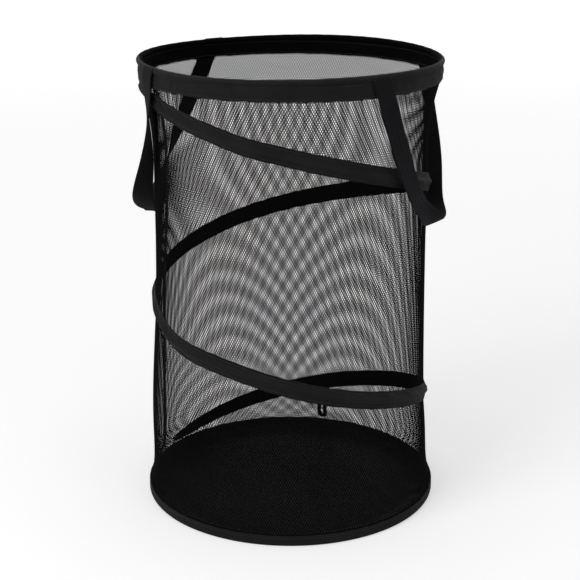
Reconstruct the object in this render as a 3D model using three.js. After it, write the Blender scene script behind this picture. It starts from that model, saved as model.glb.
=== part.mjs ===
import * as THREE from 'three';

// Pop-up laundry hamper: a tube of open mesh that stands on a cloth base. A wire hoop holds its rim, a second
// one its base, and one long wire winds down the wall between them. Each wire lies in a channel of sewn tape.
// The spiral is a spring: it flattens when the rim is pushed down, and opens the hamper again when let go.
// Lengths are millimetres, +Z is up, z = 0 is the floor, and the two webbing handles lie at +X and -X.

// Overall size
const hamperRadius = 180;
const hamperHeight = 546;
const facetCount = 48;
const seatGap = 0.3;

// Wires, their crimp sleeves and their tips
const wireDiameter = 2.4;
const wireSides = 6;
const sleeveWall = 0.4;
const sleeveLength = 18;
const sleeveSides = 8;
const tipLength = 8;
const tipEndWall = 1;

// Rim binding: a tape folded over the wire hoop and the top edge of the mesh
const rimTapeThickness = 1;
const rimTapeHeight = 22.5;
const rimOuterArcSteps = 6;
const rimInnerArcSteps = 5;

// Base binding: a tape folded under the wire hoop, the lower edge of the mesh and the edge of the base cloth
const baseTapeThickness = 0.8;
const baseTapeHeight = 13;
const baseTapeChamfer = 0.6;

// Mesh wall: it flares out to both hoops and is drawn in where nothing holds it
const meshThickness = 0.8;
const wallNeck = 16;
const wallSag = 5.2;
const lowestSpanFillShare = 1.75;
const rimFlareHeight = 98;
const baseFlareHeight = 45;
const rimFlareRows = 4;
const baseFlareRows = 4;
const middleRows = 9;
const netOpeningShare = 0.62;
const seamTapeWidth = 10;
const seamTapeThickness = 0.7;

// Spiral tape: wider than the wire, with a flat hem above and below its channel
const spiralTapeWidth = 21;
const spiralTapeThickness = 0.9;
const spiralChannelDepth = 5;
const spiralChannelFloorWidth = 10.8;
const spiralChannelCrownWidth = 5.2;
const spiralStartFacet = -21;
const spiralEndFacet = 70;
const spiralEndInset = 4;

// Base cloth: flat in the middle, with its edge turned up, over the binding and down inside it
const clothThickness = 0.8;
const clothLift = 0.4;
const clothRunWidth = 18.7;
const clothSlopeWidth = 5.2;
const clothSlopeRise = 4.5;

// Handles: webbing whose two ends are caught in the seam under the rim's wire
const webbingWidth = 25;
const webbingThickness = 1.8;
const handleHalfAngle = 42.5;
const handleDrop = 184;
const handleRimClearance = 0.3;
const handleStandoff = 4;
const handleSeamDepth = 0.8;
const handleStepsPerSide = 12;
const handleLeadShare = 1.5;
const handleSquareShare = 0.25;
const handleNudgeShare = 0.01;

// The two control points of a handle's side, as shares of its half span and of its drop
const handleShoulderShares = [0.9, 0.375];
const handleBendShares = [0.39, 0.94];

// Closure loop: narrow elastic sewn to the spiral tape at the back, which holds the folded hamper shut
const loopTapeWidth = 5;
const loopTapeThickness = 1;
const loopSlotWidth = 2.4;
const loopBottomHeight = 15.4;
const loopTurnAngle = 90;
const loopBendSteps = 6;
const loopLegSteps = 5;
const loopWallGap = 0.4;
const loopSeamShare = 0.7;
const loopSettleShare = 3;

// Sizes that follow from those above
const degree = Math.PI / 180;
const facetAngle = 360 / facetCount;
const wireRadius = wireDiameter / 2;
const sleeveRadius = wireRadius + seatGap + sleeveWall;
const channelRadius = sleeveRadius + 2 * seatGap;
const rimChannelRadius = channelRadius + rimTapeThickness;
const wallRadius = hamperRadius - wallNeck;
const rimWireRadius = hamperRadius - rimChannelRadius;
const rimWireHeight = hamperHeight - rimChannelRadius;
const rimHemHeight = hamperHeight - rimTapeHeight;
const baseWireHeight = baseTapeThickness + seatGap + sleeveRadius;
const baseChannelWidth = 2 * (sleeveRadius + seatGap);
const baseWireRadius = hamperRadius - baseTapeThickness - baseChannelWidth / 2;
const baseEdgeHeight = baseWireHeight + sleeveRadius + 2 * seatGap;
const meshRimRadius = rimWireRadius;
const meshBaseRadius = hamperRadius - baseTapeThickness - seatGap - meshThickness / 2;
const meshTopHeight = rimWireHeight - sleeveRadius - seatGap;
const clothFoldHeight = baseTapeHeight + seatGap + clothThickness;
const wallFootHeight = clothFoldHeight + seatGap;
const spiralPitch = (rimHemHeight - baseTapeHeight - 2 * spiralEndInset) * facetCount
  / (spiralEndFacet - spiralStartFacet);
const spiralWireOffset = meshThickness / 2 + spiralChannelDepth / 2;

const tapeBlack = { color: 0x1b1b1d, roughness: 0.85, metalness: 0 };
const meshBlack = { color: 0x141416, roughness: 0.9, metalness: 0 };
const clothBlack = { color: 0x101012, roughness: 0.8, metalness: 0 };
const webbingBlack = { color: 0x1c1c24, roughness: 0.75, metalness: 0 };
const springSteel = { color: 0x8c8f94, roughness: 0.35, metalness: 0.9 };
const crimpSteel = { color: 0xa6a8aa, roughness: 0.3, metalness: 0.9 };
const tipPlastic = { color: 0x202022, roughness: 0.5, metalness: 0 };

const hamper = new THREE.Group();

function addPiece(name, geometry, finish, parent = hamper) {
  const piece = new THREE.Mesh(geometry, new THREE.MeshStandardMaterial(finish));
  piece.name = name;
  parent.add(piece);
  return piece;
}

// Turns every face outwards if the closed surface encloses a negative volume
function outward(geometry) {
  const position = geometry.attributes.position;
  const index = geometry.index.array;
  const [a, b, c] = [new THREE.Vector3(), new THREE.Vector3(), new THREE.Vector3()];
  let volume = 0;
  for (let i = 0; i < index.length; i += 3) {
    a.fromBufferAttribute(position, index[i]);
    b.fromBufferAttribute(position, index[i + 1]);
    c.fromBufferAttribute(position, index[i + 2]);
    volume += a.dot(b.cross(c));
  }
  if (volume < 0) {
    for (let i = 0; i < index.length; i += 3) {
      [index[i + 1], index[i + 2]] = [index[i + 2], index[i + 1]];
    }
  }
  geometry.computeVertexNormals();
  return geometry;
}

function closedSolid(points, faces) {
  const geometry = new THREE.BufferGeometry();
  geometry.setAttribute('position', new THREE.Float32BufferAttribute(points.flatMap((p) => p.toArray()), 3));
  geometry.setIndex(faces);
  return outward(geometry);
}

// A closed solid between two grids of points, front and back, that are joined along their edges
function sheetSolid(front, back) {
  const rows = front.length;
  const columns = front[0].length;
  const points = [...front.flat(), ...back.flat()];
  const faces = [];
  const at = (i, j) => i * columns + j;
  const behind = (i, j) => at(i, j) + rows * columns;
  const quad = (p, q, r, s) => faces.push(p, q, r, p, r, s);
  for (let i = 0; i < rows - 1; i++) {
    for (let j = 0; j < columns - 1; j++) {
      quad(at(i, j), at(i + 1, j), at(i + 1, j + 1), at(i, j + 1));
      quad(behind(i, j), behind(i, j + 1), behind(i + 1, j + 1), behind(i + 1, j));
    }
    quad(at(i, 0), behind(i, 0), behind(i + 1, 0), at(i + 1, 0));
    quad(at(i, columns - 1), at(i + 1, columns - 1), behind(i + 1, columns - 1), behind(i, columns - 1));
  }
  for (let j = 0; j < columns - 1; j++) {
    quad(at(0, j), at(0, j + 1), behind(0, j + 1), behind(0, j));
    quad(at(rows - 1, j), behind(rows - 1, j), behind(rows - 1, j + 1), at(rows - 1, j + 1));
  }
  return closedSolid(points, faces);
}

// A solid of revolution about +Z, from a closed outline of [radius, height] points
function ringSolid(outline, segments = facetCount) {
  const points = [...outline, outline[0]].map(([r, z]) => new THREE.Vector2(r, z));
  return outward(new THREE.LatheGeometry(points, segments).rotateX(90 * degree));
}

// A solid of revolution whose outline starts and ends on the axis
function turnedSolid(outline, segments = facetCount) {
  const points = outline.map(([r, z]) => new THREE.Vector2(r, z));
  return outward(new THREE.LatheGeometry(points, segments).rotateX(90 * degree));
}

function cylinderPoint(angle, radius, height) {
  return new THREE.Vector3(radius * Math.cos(angle * degree), radius * Math.sin(angle * degree), height);
}

// How far a flat facet of the wall lies inside its round radius, as a factor, at an angle in degrees
function facetFactor(angle) {
  const fromVertex = ((angle % facetAngle) + facetAngle) % facetAngle;
  return Math.cos(facetAngle / 2 * degree) / Math.cos((fromVertex - facetAngle / 2) * degree);
}

// Spiral line: its height at a winding angle, counted from +X through the turns, in degrees
function spiralHeight(winding) {
  const start = spiralStartFacet * facetAngle;
  return rimHemHeight - spiralEndInset - (winding - start) / 360 * spiralPitch;
}

// Lower and upper edge of the spiral tape, which narrows where it runs in under the rim and onto the base
function spiralEdges(winding) {
  const centre = spiralHeight(winding);
  return [
    Math.max(centre - spiralTapeWidth / 2, wallFootHeight),
    Math.min(centre + spiralTapeWidth / 2, rimHemHeight - seatGap),
  ];
}

// Heights of the rows of the wall, close together where it flares
function wallRows() {
  const baseFlareTop = wallFootHeight + baseFlareHeight;
  const rimFlareFoot = rimHemHeight - rimFlareHeight;
  const rows = [baseEdgeHeight];
  const spread = (from, to, count) => {
    for (let i = 0; i < count; i++) {
      rows.push(THREE.MathUtils.lerp(from, to, i / count));
    }
  };
  spread(wallFootHeight, baseFlareTop, baseFlareRows);
  spread(baseFlareTop, rimFlareFoot, middleRows);
  spread(rimFlareFoot, rimHemHeight, rimFlareRows);
  rows.push(rimHemHeight, meshTopHeight);
  return rows;
}

const rowHeights = wallRows();

// Radius of the middle of the wall where something holds it: straight between rows, wide at both hoops
function heldRadius(height) {
  const smooth = (z) => {
    const up = THREE.MathUtils.clamp((z - rimHemHeight) / rimFlareHeight + 1, 0, 1);
    const down = THREE.MathUtils.clamp((wallFootHeight - z) / baseFlareHeight + 1, 0, 1);
    return wallRadius + (meshRimRadius - wallRadius) * up * up + (meshBaseRadius - wallRadius) * down * down;
  };
  const above = rowHeights.findIndex((z) => z > height);
  if (above < 1) return smooth(height);
  const [low, high] = [rowHeights[above - 1], rowHeights[above]];
  return THREE.MathUtils.lerp(smooth(low), smooth(high), (height - low) / (high - low));
}

// How far the wall is drawn in at a place, between the tapes that hold it there. A long lowest span stands
// out instead, because the cloth base and the side seam keep it full.
function wallSagAt(angle, height) {
  const start = spiralStartFacet * facetAngle;
  const end = spiralEndFacet * facetAngle;
  const first = start + (((angle - start) % 360) + 360) % 360;
  const edges = [rimHemHeight];
  for (let winding = first; winding <= end; winding += 360) {
    const [low, high] = spiralEdges(winding);
    edges.unshift(low, high);
  }
  edges.unshift(baseTapeHeight);
  edges.sort((a, b) => a - b);
  for (let i = 0; i < edges.length; i += 2) {
    const [low, high] = [edges[i], edges[i + 1]];
    if (height > low && height < high) {
      const share = (height - low) / (high - low);
      const hump = 4 * share * (1 - share);
      const reach = Math.min(1, (high - low) / (spiralPitch - spiralTapeWidth));
      const fill = i === 0 ? lowestSpanFillShare : 0;
      return wallSag * (reach ** 1.5 * hump - fill * (reach * hump) ** 2);
    }
  }
  return 0;
}

function wallPoint(facet, height, offset) {
  const angle = facet * facetAngle;
  return cylinderPoint(angle, heldRadius(height) - wallSagAt(angle, height) + offset, height);
}

// A point on the facets that the spiral tape and the closure loop lie on, at an offset from the wall's middle
function heldPoint(angle, height, offset) {
  return cylinderPoint(angle, heldRadius(height) * facetFactor(angle) + offset, height);
}

// The wall is a lattice of diamonds, each round every second corner of the grid of facets and rows. Between the
// flare at the base and the rim's hem each diamond is open, as the knitted net is, but at a plain large size.
function meshWall() {
  const topRow = rowHeights.length - 1;
  const points = [];
  const faces = [];
  const placed = new Map();
  const quad = (p, q, r, s) => faces.push(p, q, r, p, r, s);
  const isOpen = ([, row]) => row > baseFlareRows && row < topRow - 1;
  const face = meshThickness / 2;
  const wallCorner = ([facet, row], side) => wallPoint(facet % facetCount, rowHeights[row], side * face);
  // The index of a corner, or of the point between it and the middle of an open diamond
  const at = (corner, side, middle = corner) => {
    const key = [corner[0] % facetCount, corner[1], middle[0] % facetCount, middle[1], side].join();
    if (!placed.has(key)) {
      placed.set(key, points.length);
      const share = corner === middle ? 0 : netOpeningShare;
      points.push(wallCorner(middle, side).lerp(wallCorner(corner, side), share));
    }
    return placed.get(key);
  };
  for (let facet = 0; facet < facetCount; facet++) {
    for (let row = 0; row < topRow; row++) {
      const corners = [[facet, row], [facet + 1, row], [facet + 1, row + 1], [facet, row + 1]];
      const first = (facet + row) % 2;
      [first, first + 2].forEach((place) => {
        const middle = corners[place];
        const [before, after] = [corners[(place + 3) % 4], corners[(place + 1) % 4]];
        if (isOpen(middle)) {
          quad(at(before, 1), at(before, 1, middle), at(after, 1, middle), at(after, 1));
          quad(at(after, -1), at(after, -1, middle), at(before, -1, middle), at(before, -1));
          quad(at(after, 1, middle), at(before, 1, middle), at(before, -1, middle), at(after, -1, middle));
        } else {
          faces.push(at(before, 1), at(middle, 1), at(after, 1), at(after, -1), at(middle, -1), at(before, -1));
        }
      });
    }
    const [here, next] = [facet, facet + 1];
    quad(at([next, 0], 1), at([here, 0], 1), at([here, 0], -1), at([next, 0], -1));
    quad(at([here, topRow], 1), at([next, topRow], 1), at([next, topRow], -1), at([here, topRow], -1));
  }
  return closedSolid(points, faces);
}

// The tape inside the wall that covers the join of the mesh, under the handle at -X
function sideSeamTape() {
  const seamFacet = facetCount / 2;
  const inside = rowHeights.filter((height) => height > wallFootHeight && height < rimHemHeight);
  const heights = [wallFootHeight, ...inside, rimHemHeight - seatGap];
  const share = seamTapeWidth / 2 / (wallRadius * facetAngle * degree);
  const face = (offset) => heights.map((height) => [-1, 0, 1].map((side) => (
    wallPoint(seamFacet, height, offset).lerp(wallPoint(seamFacet + side, height, offset), share)
  )));
  const front = -meshThickness / 2 - 2 * seatGap;
  return sheetSolid(face(front), face(front - seamTapeThickness));
}

// Section of the rim binding: two legs beside the mesh, and a round channel over them for the wire
function rimBinding() {
  const legInside = meshThickness / 2 + seatGap;
  const legOutside = legInside + rimTapeThickness;
  const arc = (radius, leg, steps) => {
    const start = -Math.acos(leg / radius);
    const sweep = Math.PI - 2 * start;
    return Array.from({ length: steps + 1 }, (_, i) => {
      const turn = start + sweep * i / steps;
      return [rimWireRadius + radius * Math.cos(turn), rimWireHeight + radius * Math.sin(turn)];
    });
  };
  return ringSolid([
    [rimWireRadius + legOutside, rimHemHeight],
    ...arc(rimChannelRadius, legOutside, rimOuterArcSteps),
    [rimWireRadius - legOutside, rimHemHeight],
    [rimWireRadius - legInside, rimHemHeight],
    ...arc(channelRadius, legInside, rimInnerArcSteps).reverse(),
    [rimWireRadius + legInside, rimHemHeight],
  ]);
}

// Section of the base binding: flat under the wire, one leg outside the mesh and one inside the cloth's edge
function baseBinding() {
  const outside = hamperRadius;
  const channelOutside = outside - baseTapeThickness;
  const channelInside = channelOutside - baseChannelWidth;
  const inside = channelInside - baseTapeThickness;
  const legOutside = meshBaseRadius - meshThickness / 2 - clothThickness - 2 * seatGap;
  const legInside = legOutside - baseTapeThickness;
  const shoulder = baseWireHeight + sleeveRadius;
  const shoulderRise = shoulder + (legOutside - channelInside) / 2;
  return ringSolid([
    [inside + baseTapeChamfer, 0],
    [outside - baseTapeChamfer, 0],
    [outside, baseTapeChamfer],
    [outside, baseTapeHeight],
    [channelOutside, baseTapeHeight],
    [channelOutside, baseTapeThickness],
    [channelInside, baseTapeThickness],
    [channelInside, shoulder],
    [legOutside, shoulderRise],
    [legOutside, baseTapeHeight],
    [legInside, baseTapeHeight],
    [legInside, shoulderRise],
    [inside, shoulder],
    [inside, baseTapeChamfer],
  ]);
}

function basePanel() {
  const edgeOutside = meshBaseRadius - meshThickness / 2 - seatGap;
  const edgeInside = edgeOutside - clothThickness;
  const legInside = edgeInside - seatGap - baseTapeThickness;
  const foldUnder = clothFoldHeight - clothThickness;
  const slopeRadius = legInside - clothSlopeWidth;
  const flatRadius = slopeRadius - clothRunWidth;
  return turnedSolid([
    [0, clothLift],
    [flatRadius, clothLift],
    [slopeRadius, clothSlopeRise],
    [legInside - seatGap, foldUnder],
    [edgeInside, foldUnder],
    [edgeInside, baseEdgeHeight],
    [edgeOutside, baseEdgeHeight],
    [edgeOutside, clothFoldHeight],
    [legInside - seatGap - clothThickness, clothFoldHeight],
    [slopeRadius - clothThickness, clothSlopeRise + clothThickness],
    [flatRadius, clothLift + clothThickness],
    [0, clothLift + clothThickness],
  ]);
}

function hoopWire(radius, height) {
  const geometry = new THREE.TorusGeometry(radius, wireRadius, wireSides, facetCount);
  return outward(geometry.translate(0, 0, height));
}

// A crimped tube that joins the two ends of a hoop, in the middle of one of its straight facets
function addHoopSleeve(name, radius, height, facet) {
  const bore = wireRadius + seatGap;
  const half = sleeveLength / 2;
  const tube = ringSolid([[bore, -half], [sleeveRadius, -half], [sleeveRadius, half], [bore, half]], sleeveSides);
  const sleeve = addPiece(name, tube.rotateX(90 * degree), crimpSteel);
  const angle = (facet + 0.5) * facetAngle;
  sleeve.position.copy(cylinderPoint(angle, radius * facetFactor(angle), height));
  sleeve.rotation.z = angle * degree;
}

// The line of the spiral wire, in the middle of the channel of its tape
class SpiralLine extends THREE.Curve {
  getPoint(share, target = new THREE.Vector3()) {
    const winding = THREE.MathUtils.lerp(spiralStartFacet, spiralEndFacet, share) * facetAngle;
    const [low, high] = spiralEdges(winding);
    const height = (low + high) / 2;
    return target.copy(cylinderPoint(winding, heldRadius(height) + spiralWireOffset, height));
  }
}

const spiralLine = new SpiralLine();
const spiralSteps = spiralEndFacet - spiralStartFacet;
spiralLine.arcLengthDivisions = spiralSteps * 8;

function spiralWire() {
  const corners = Array.from({ length: wireSides }, (_, side) => {
    const turn = side / wireSides * 2 * Math.PI;
    return new THREE.Vector2(wireRadius * Math.cos(turn), wireRadius * Math.sin(turn));
  });
  const section = new THREE.Shape(corners);
  return new THREE.ExtrudeGeometry(section, { steps: spiralSteps, extrudePath: spiralLine });
}

// A closed tube pushed onto one end of the spiral wire
function addWireTip(name, end) {
  const inner = end === 0 ? 1 / spiralSteps : 1 - 1 / spiralSteps;
  const tipPoint = spiralLine.getPointAt(end);
  const outwards = tipPoint.clone().sub(spiralLine.getPointAt(inner)).normalize();
  const bore = wireRadius + seatGap;
  const outside = bore + sleeveWall;
  const cup = turnedSolid([
    [0, seatGap],
    [bore, seatGap],
    [bore, seatGap - tipLength],
    [outside, seatGap - tipLength],
    [outside, seatGap + tipEndWall],
    [0, seatGap + tipEndWall],
  ], sleeveSides);
  const tip = addPiece(name, cup, tipPlastic);
  tip.position.copy(tipPoint);
  tip.quaternion.setFromUnitVectors(new THREE.Vector3(0, 0, 1), outwards);
}

// Section of the spiral tape: hem, ramp, crown over the wire, ramp and hem
function spiralBinding() {
  const floor = spiralChannelFloorWidth / 2;
  const crownEdge = spiralChannelCrownWidth / 2;
  const hem = meshThickness / 2 + seatGap;
  const crown = meshThickness / 2 + spiralChannelDepth;
  const lifts = [hem, hem, crown, crown, hem, hem];
  const face = (outer) => Array.from({ length: spiralSteps + 1 }, (_, step) => {
    const winding = (spiralStartFacet + step) * facetAngle;
    const [low, high] = spiralEdges(winding);
    const centre = (low + high) / 2;
    const heights = [low, centre - floor, centre - crownEdge, centre + crownEdge, centre + floor, high];
    return heights.map((height, i) => (
      cylinderPoint(winding, heldRadius(height) + lifts[i] + outer, height)
    ));
  });
  return sheetSolid(face(spiralTapeThickness), face(0));
}

// The middle line of a handle: share 0 is a sewn end, 1 the bottom of the U, and side is 1 or -1
function handlePoint(share, side) {
  const topRadius = hamperRadius + handleRimClearance + webbingThickness / 2;
  const topHeight = rimWireHeight - handleSeamDepth;
  const halfSpan = topRadius * handleHalfAngle * degree;
  const control = ([spanShare, dropShare]) => (
    new THREE.Vector2(spanShare * halfSpan, topHeight - dropShare * handleDrop)
  );
  const ends = [[1, 0], handleShoulderShares, handleBendShares, [0, 1]];
  const [span, height] = new THREE.CubicBezierCurve(...ends.map(control)).getPoint(share).toArray();
  const lead = THREE.MathUtils.smoothstep(share * handleLeadShare, 0, 1);
  const radius = THREE.MathUtils.lerp(topRadius, hamperRadius + handleStandoff, lead);
  return cylinderPoint(side * span / topRadius / degree, radius, height);
}

// Where the webbing lies at a place on that line, and which way its width and its thickness run
function handleStation(share, side) {
  const middle = handlePoint(share, side);
  const ahead = handlePoint(Math.min(share + handleNudgeShare, 1), side);
  const along = ahead.sub(handlePoint(Math.max(share - handleNudgeShare, 0), side)).normalize();
  if (share === 1) {
    along.set(0, -side, 0);
  }
  const out = new THREE.Vector3(middle.x, middle.y, 0).normalize();
  const square = along.clone().cross(out).normalize();
  const level = new THREE.Vector3(0, 0, 1).cross(out);
  if (level.dot(square) < 0) {
    level.negate();
  }
  const across = level.lerp(square, THREE.MathUtils.smoothstep(share, 0, handleSquareShare)).normalize();
  const normal = across.clone().cross(along).normalize();
  if (normal.dot(out) < 0) {
    normal.negate();
  }
  const twist = THREE.MathUtils.smoothstep(share, 0, 1) * Math.PI / 2;
  const width = across.multiplyScalar(Math.cos(twist)).addScaledVector(normal, Math.sin(twist)).normalize();
  return { middle, width, thick: along.cross(width).normalize() };
}

// One handle: it leaves the rim flat against it, hangs in a U, and twists until its width points outwards
function handleStrap() {
  const shares = Array.from({ length: handleStepsPerSide + 1 }, (_, i) => i / handleStepsPerSide);
  const stations = [
    ...shares.map((share) => handleStation(share, 1)),
    ...shares.slice(0, -1).reverse().map((share) => handleStation(share, -1)),
  ];
  for (let i = 1; i < stations.length; i++) {
    for (const way of ['width', 'thick']) {
      if (stations[i][way].dot(stations[i - 1][way]) < 0) {
        stations[i][way].negate();
      }
    }
  }
  const face = (side) => stations.map(({ middle, width, thick }) => [-1, 1].map((edge) => (
    middle.clone().addScaledVector(width, edge * webbingWidth / 2)
      .addScaledVector(thick, side * webbingThickness / 2)
  )));
  return sheetSolid(face(1), face(-1));
}

// The closure loop lies on the wall below the spiral tape, and its two ends lie on the tape's lower hem
function closureLoop() {
  const winding = loopTurnAngle + 360;
  const [tapeLow] = spiralEdges(winding);
  const hemWidth = (spiralTapeWidth - spiralChannelFloorWidth) / 2;
  const legTop = tapeLow + loopSeamShare * hemWidth;
  const settleHeight = tapeLow - loopSettleShare * loopTapeThickness;
  const innerHalf = loopSlotWidth / 2;
  const outerHalf = innerHalf + loopTapeWidth;
  const bendHeight = loopBottomHeight + outerHalf;
  const lift = (height) => {
    const onTape = height > tapeLow - loopTapeThickness;
    const clear = onTape ? spiralTapeThickness + 2 * seatGap : loopWallGap;
    return meshThickness / 2 + clear;
  };
  const path = [];
  const legHeights = [legTop, tapeLow];
  for (let i = 1; i <= loopLegSteps; i++) {
    legHeights.push(THREE.MathUtils.lerp(settleHeight, bendHeight, i / loopLegSteps));
  }
  legHeights.forEach((height) => path.push([[-outerHalf, height], [-innerHalf, height]]));
  for (let i = 1; i < loopBendSteps; i++) {
    const turn = Math.PI + Math.PI * i / loopBendSteps;
    path.push([outerHalf, innerHalf].map((r) => [r * Math.cos(turn), bendHeight + r * Math.sin(turn)]));
  }
  legHeights.reverse().forEach((height) => path.push([[outerHalf, height], [innerHalf, height]]));
  const face = (outer) => path.map((pair) => pair.map(([across, height]) => {
    const angle = loopTurnAngle + across / wallRadius / degree;
    return heldPoint(angle, height, lift(height) + outer);
  }));
  return sheetSolid(face(loopTapeThickness), face(0));
}

addPiece('base_panel', basePanel(), clothBlack);
addPiece('base_binding', baseBinding(), tapeBlack);
addPiece('base_hoop_wire', hoopWire(baseWireRadius, baseWireHeight), springSteel);
addHoopSleeve('base_hoop_sleeve', baseWireRadius, baseWireHeight, facetCount / 4);
addPiece('mesh_wall', meshWall(), meshBlack);
addPiece('side_seam_tape', sideSeamTape(), tapeBlack);
addPiece('spiral_binding', spiralBinding(), tapeBlack);
addPiece('spiral_wire', spiralWire(), springSteel);
addWireTip('spiral_upper_tip', 0);
addWireTip('spiral_lower_tip', 1);
addPiece('closure_loop', closureLoop(), webbingBlack);
addPiece('rim_binding', rimBinding(), tapeBlack);
addPiece('rim_hoop_wire', hoopWire(rimWireRadius, rimWireHeight), springSteel);
addHoopSleeve('rim_hoop_sleeve', rimWireRadius, rimWireHeight, facetCount / 4);
addPiece('handle_right', handleStrap(), webbingBlack);
addPiece('handle_left', handleStrap(), webbingBlack).rotation.z = Math.PI;

export default hamper;
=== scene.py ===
import math

import bmesh
import bpy
import numpy as np
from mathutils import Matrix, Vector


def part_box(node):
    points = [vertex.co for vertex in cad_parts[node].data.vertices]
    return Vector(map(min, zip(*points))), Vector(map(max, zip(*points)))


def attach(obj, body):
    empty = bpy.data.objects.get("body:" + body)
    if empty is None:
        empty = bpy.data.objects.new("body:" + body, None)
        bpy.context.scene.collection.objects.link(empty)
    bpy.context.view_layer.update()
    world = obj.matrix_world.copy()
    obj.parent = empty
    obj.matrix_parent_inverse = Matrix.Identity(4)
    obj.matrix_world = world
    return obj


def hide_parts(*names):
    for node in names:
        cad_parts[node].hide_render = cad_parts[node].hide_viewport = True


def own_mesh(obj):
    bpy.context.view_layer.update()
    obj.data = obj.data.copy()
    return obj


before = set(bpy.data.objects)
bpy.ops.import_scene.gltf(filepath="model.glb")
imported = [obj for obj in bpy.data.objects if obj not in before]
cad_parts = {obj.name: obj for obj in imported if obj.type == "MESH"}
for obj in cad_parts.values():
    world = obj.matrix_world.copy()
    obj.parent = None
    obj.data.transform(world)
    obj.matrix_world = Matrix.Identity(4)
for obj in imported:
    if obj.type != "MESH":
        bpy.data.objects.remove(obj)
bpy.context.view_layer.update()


# The hamper stands on a pale floor. It is seen from in front and a little above, from far enough back that
# its sides stay nearly straight. A large soft lamp hangs in front on the left, weaker ones on the right and
# overhead.
view_bearing = math.radians(14.5)
view_tilt = math.radians(17.79)
view_distance = 1.6763
view_height = 0.7949
photo_width_px = 580
photo_focal_px = 1429.5
photo_middle_px = 290.5

camera_data = bpy.data.cameras.new("front_view")
camera_data.lens = camera_data.sensor_width * photo_focal_px / photo_width_px
camera_data.shift_x = 0.5 - photo_middle_px / photo_width_px
camera = bpy.data.objects.new("front_view", camera_data)
camera.location = (view_distance * math.sin(view_bearing), -view_distance * math.cos(view_bearing),
                   view_height)
camera.rotation_euler = (math.pi / 2 - view_tilt, 0, view_bearing)
bpy.context.scene.collection.objects.link(camera)
bpy.context.scene.camera = camera
bpy.context.scene.view_settings.view_transform = "Standard"


def feed_node(tree, node, values):
    """Feeds a node's inputs, each from a socket or with a plain value, and returns the node's outputs."""
    for label, value in values.items():
        if isinstance(value, bpy.types.NodeSocket):
            tree.links.new(value, node.inputs[label])
        else:
            node.inputs[label].default_value = value
    return node.outputs


def add_node(tree, kind, values=None):
    return feed_node(tree, tree.nodes.new("ShaderNode" + kind), values or {})


def wire_math(tree, operation, *values):
    """A math node. Each of its inputs is a socket or a number."""
    node = tree.nodes.new("ShaderNodeMath")
    node.operation = operation
    return feed_node(tree, node, dict(enumerate(values)))["Value"]


def new_material(name):
    """A material with its node tree and its shader."""
    material = bpy.data.materials.new(name)
    material.use_nodes = True
    return material, material.node_tree, material.node_tree.nodes["Principled BSDF"]


room_light = 0.35
world = bpy.data.worlds.new("white_room")
world.use_nodes = True
bpy.context.scene.world = world
room_tree = world.node_tree
room_ray = add_node(room_tree, "LightPath")
seen_or_mirrored = wire_math(room_tree, "MAXIMUM", room_ray["Is Camera Ray"], room_ray["Is Glossy Ray"])
seen_in_any_way = wire_math(room_tree, "MAXIMUM", seen_or_mirrored, room_ray["Is Transmission Ray"])
room_strength = add_node(room_tree, "MapRange", {"Value": seen_in_any_way, "To Min": room_light, "To Max": 1})
feed_node(room_tree, room_tree.nodes["Background"],
          {"Color": (1, 1, 1, 1), "Strength": room_strength["Result"]})


def hang_soft_lamp(name, place, aim, size, power):
    lamp_data = bpy.data.lights.new(name, "AREA")
    lamp_data.size = size
    lamp_data.energy = power
    lamp = bpy.data.objects.new(name, lamp_data)
    bpy.context.scene.collection.objects.link(lamp)
    lamp.location = place
    toward = Vector(aim) - Vector(place)
    lamp.rotation_euler = toward.to_track_quat("-Z", "Y").to_euler()


hang_soft_lamp("front_left_lamp", place=(-1.1, -1.9, 1.7), aim=(0, 0, 0.3), size=1.4, power=26)
hang_soft_lamp("front_right_lamp", place=(1.9, -1.3, 1.0), aim=(0, 0, 0.3), size=1.0, power=5)
hang_soft_lamp("overhead_lamp", place=(0.1, 0.3, 2.4), aim=(0, 0, 0), size=1.6, power=6)

floor_half = 20
floor_white = (0.82, 0.82, 0.82, 1)
floor_glow_near = 0.45
floor_glow_far = 0.72
floor_glow_start = 0.3
floor_glow_end = 4

floor_mesh = bpy.data.meshes.new("pale_floor")
floor_corners = [(-floor_half, -floor_half, 0), (floor_half, -floor_half, 0),
                 (floor_half, floor_half, 0), (-floor_half, floor_half, 0)]
floor_mesh.from_pydata(floor_corners, [], [(0, 1, 2, 3)])
pale_floor = bpy.data.objects.new("pale_floor", floor_mesh)
bpy.context.scene.collection.objects.link(pale_floor)

floor_paint, floor_tree, floor_shader = new_material("pale floor paint")
floor_length = floor_tree.nodes.new("ShaderNodeVectorMath")
floor_length.operation = "LENGTH"
floor_distance = feed_node(floor_tree, floor_length, {"Vector": add_node(floor_tree, "TexCoord")["Object"]})
floor_glow = add_node(floor_tree, "MapRange", {
    "Value": floor_distance["Value"], "From Min": floor_glow_start, "From Max": floor_glow_end,
    "To Min": floor_glow_near, "To Max": floor_glow_far})
floor_ray = add_node(floor_tree, "LightPath")
feed_node(floor_tree, floor_shader, {
    "Base Color": floor_white,
    "Roughness": 0.9,
    "Specular IOR Level": 0.1,
    "Emission Color": (1, 1, 1, 1),
    "Emission Strength": wire_math(floor_tree, "MULTIPLY", floor_ray["Is Camera Ray"], floor_glow["Result"])})
floor_mesh.materials.append(floor_paint)


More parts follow.
